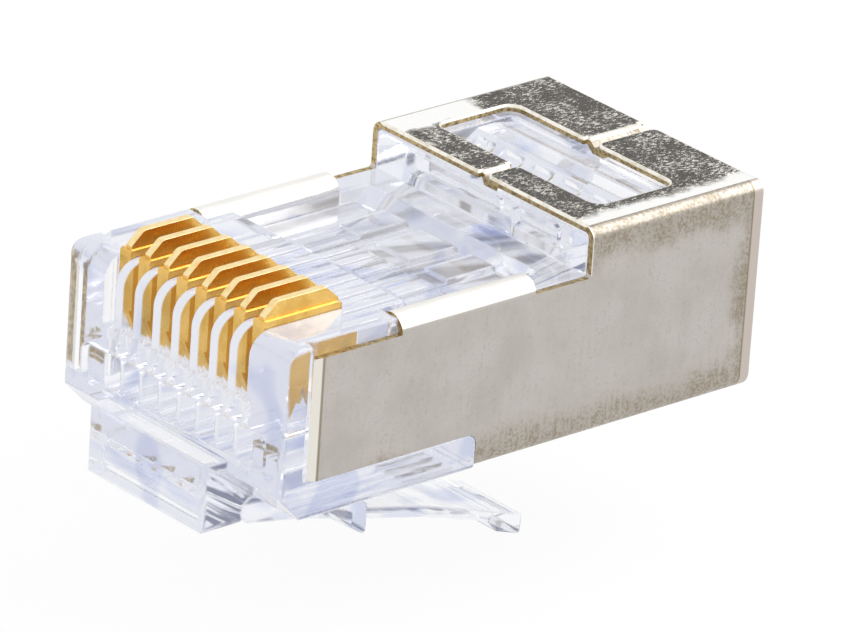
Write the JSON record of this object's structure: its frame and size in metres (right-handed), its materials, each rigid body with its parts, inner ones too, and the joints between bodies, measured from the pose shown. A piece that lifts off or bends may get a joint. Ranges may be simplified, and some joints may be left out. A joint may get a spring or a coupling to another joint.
{
  "type": "modular plug",
  "caption": "Shielded pass-through modular plug for twisted-pair cable: clear housing in a folded metal shield, crimp contacts raised in a comb, sprung latch, round cable entry.",
  "frame": {"origin": "middle of the round cable entry, at the plug's rear face", "axes": "+Y along the plug, out of the cable entry; +Z to the contact side, away from the latch; +X across the plug"},
  "size_m": [0.0116, 0.0226, 0.0135],
  "materials": {
    "clear_plastic": "gloss",
    "shield_plate": "satin",
    "contact_gold": "satin"
  },
  "bodies": {
    "plug": {"housing": "clear_plastic", "shield": "shield_plate"},
    "latch": {"latch": "clear_plastic"},
    "strain_relief_bar": {"strain_relief_bar": "clear_plastic"},
    "contact_1": {"contact_1": "contact_gold"},
    "contact_2": {"contact_2": "contact_gold"},
    "contact_3": {"contact_3": "contact_gold"},
    "contact_4": {"contact_4": "contact_gold"},
    "contact_5": {"contact_5": "contact_gold"},
    "contact_6": {"contact_6": "contact_gold"},
    "contact_7": {"contact_7": "contact_gold"},
    "contact_8": {"contact_8": "contact_gold"}
  },
  "joints": [
    {"name": "latch_flex", "type": "hinge", "parent": "plug", "child": "latch", "pos_m": [0, -0.02031, -0.00422], "axis": [1, 0, 0], "range_deg": [0, 13], "stiffness_Nm_per_rad": 0.12},
    {"name": "bar_crimp", "type": "hinge", "parent": "plug", "child": "strain_relief_bar", "pos_m": [0, -0.00316, 0.00355], "axis": [1, 0, 0], "range_deg": [0, 25]},
    {"name": "contact_1_crimp", "type": "slide", "parent": "plug", "child": "contact_1", "axis": [0, 0, -1], "range_m": [0, 0.0012]},
    {"name": "contact_2_crimp", "type": "slide", "parent": "plug", "child": "contact_2", "axis": [0, 0, -1], "range_m": [0, 0.0012]},
    {"name": "contact_3_crimp", "type": "slide", "parent": "plug", "child": "contact_3", "axis": [0, 0, -1], "range_m": [0, 0.0012]},
    {"name": "contact_4_crimp", "type": "slide", "parent": "plug", "child": "contact_4", "axis": [0, 0, -1], "range_m": [0, 0.0012]},
    {"name": "contact_5_crimp", "type": "slide", "parent": "plug", "child": "contact_5", "axis": [0, 0, -1], "range_m": [0, 0.0012]},
    {"name": "contact_6_crimp", "type": "slide", "parent": "plug", "child": "contact_6", "axis": [0, 0, -1], "range_m": [0, 0.0012]},
    {"name": "contact_7_crimp", "type": "slide", "parent": "plug", "child": "contact_7", "axis": [0, 0, -1], "range_m": [0, 0.0012]},
    {"name": "contact_8_crimp", "type": "slide", "parent": "plug", "child": "contact_8", "axis": [0, 0, -1], "range_m": [0, 0.0012]}
  ]
}
